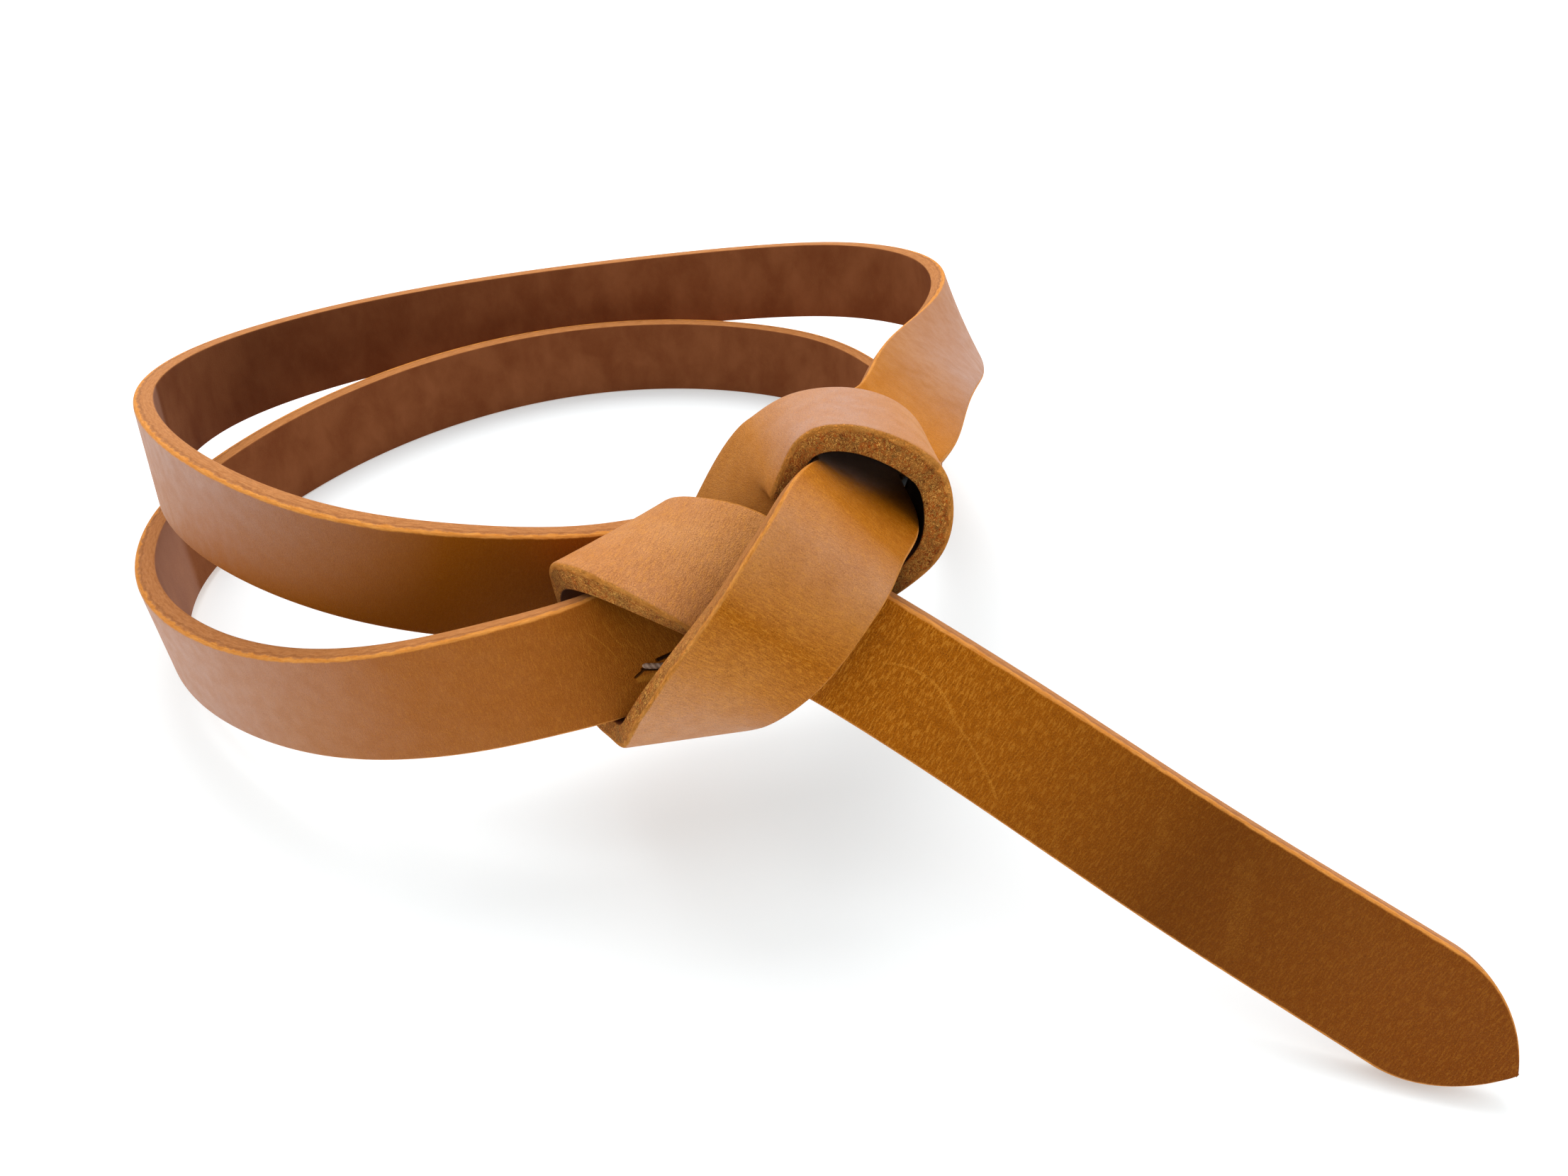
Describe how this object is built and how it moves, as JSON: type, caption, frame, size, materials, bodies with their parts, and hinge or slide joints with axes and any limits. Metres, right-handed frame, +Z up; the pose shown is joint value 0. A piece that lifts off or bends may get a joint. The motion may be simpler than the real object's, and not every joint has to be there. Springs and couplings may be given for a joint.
{
  "type": "leather tie belt",
  "caption": "Long tan leather strap tied with one knot through its own looped end and laid down in two waist loops, with a pointed free tail.",
  "frame": {"origin": "on the surface that the belt lies on, under the middle of its box", "axes": "+X to the right seen from the knot's side, +Y from the knot to the back of the loops, +Z up"},
  "size_m": [0.1894, 0.1862, 0.0559],
  "materials": {
    "leather": "satin tan grain outside, dark brown suede inside, pale cut edges"
  },
  "bodies": {
    "root": {"strap": "leather"}
  },
  "joints": []
}
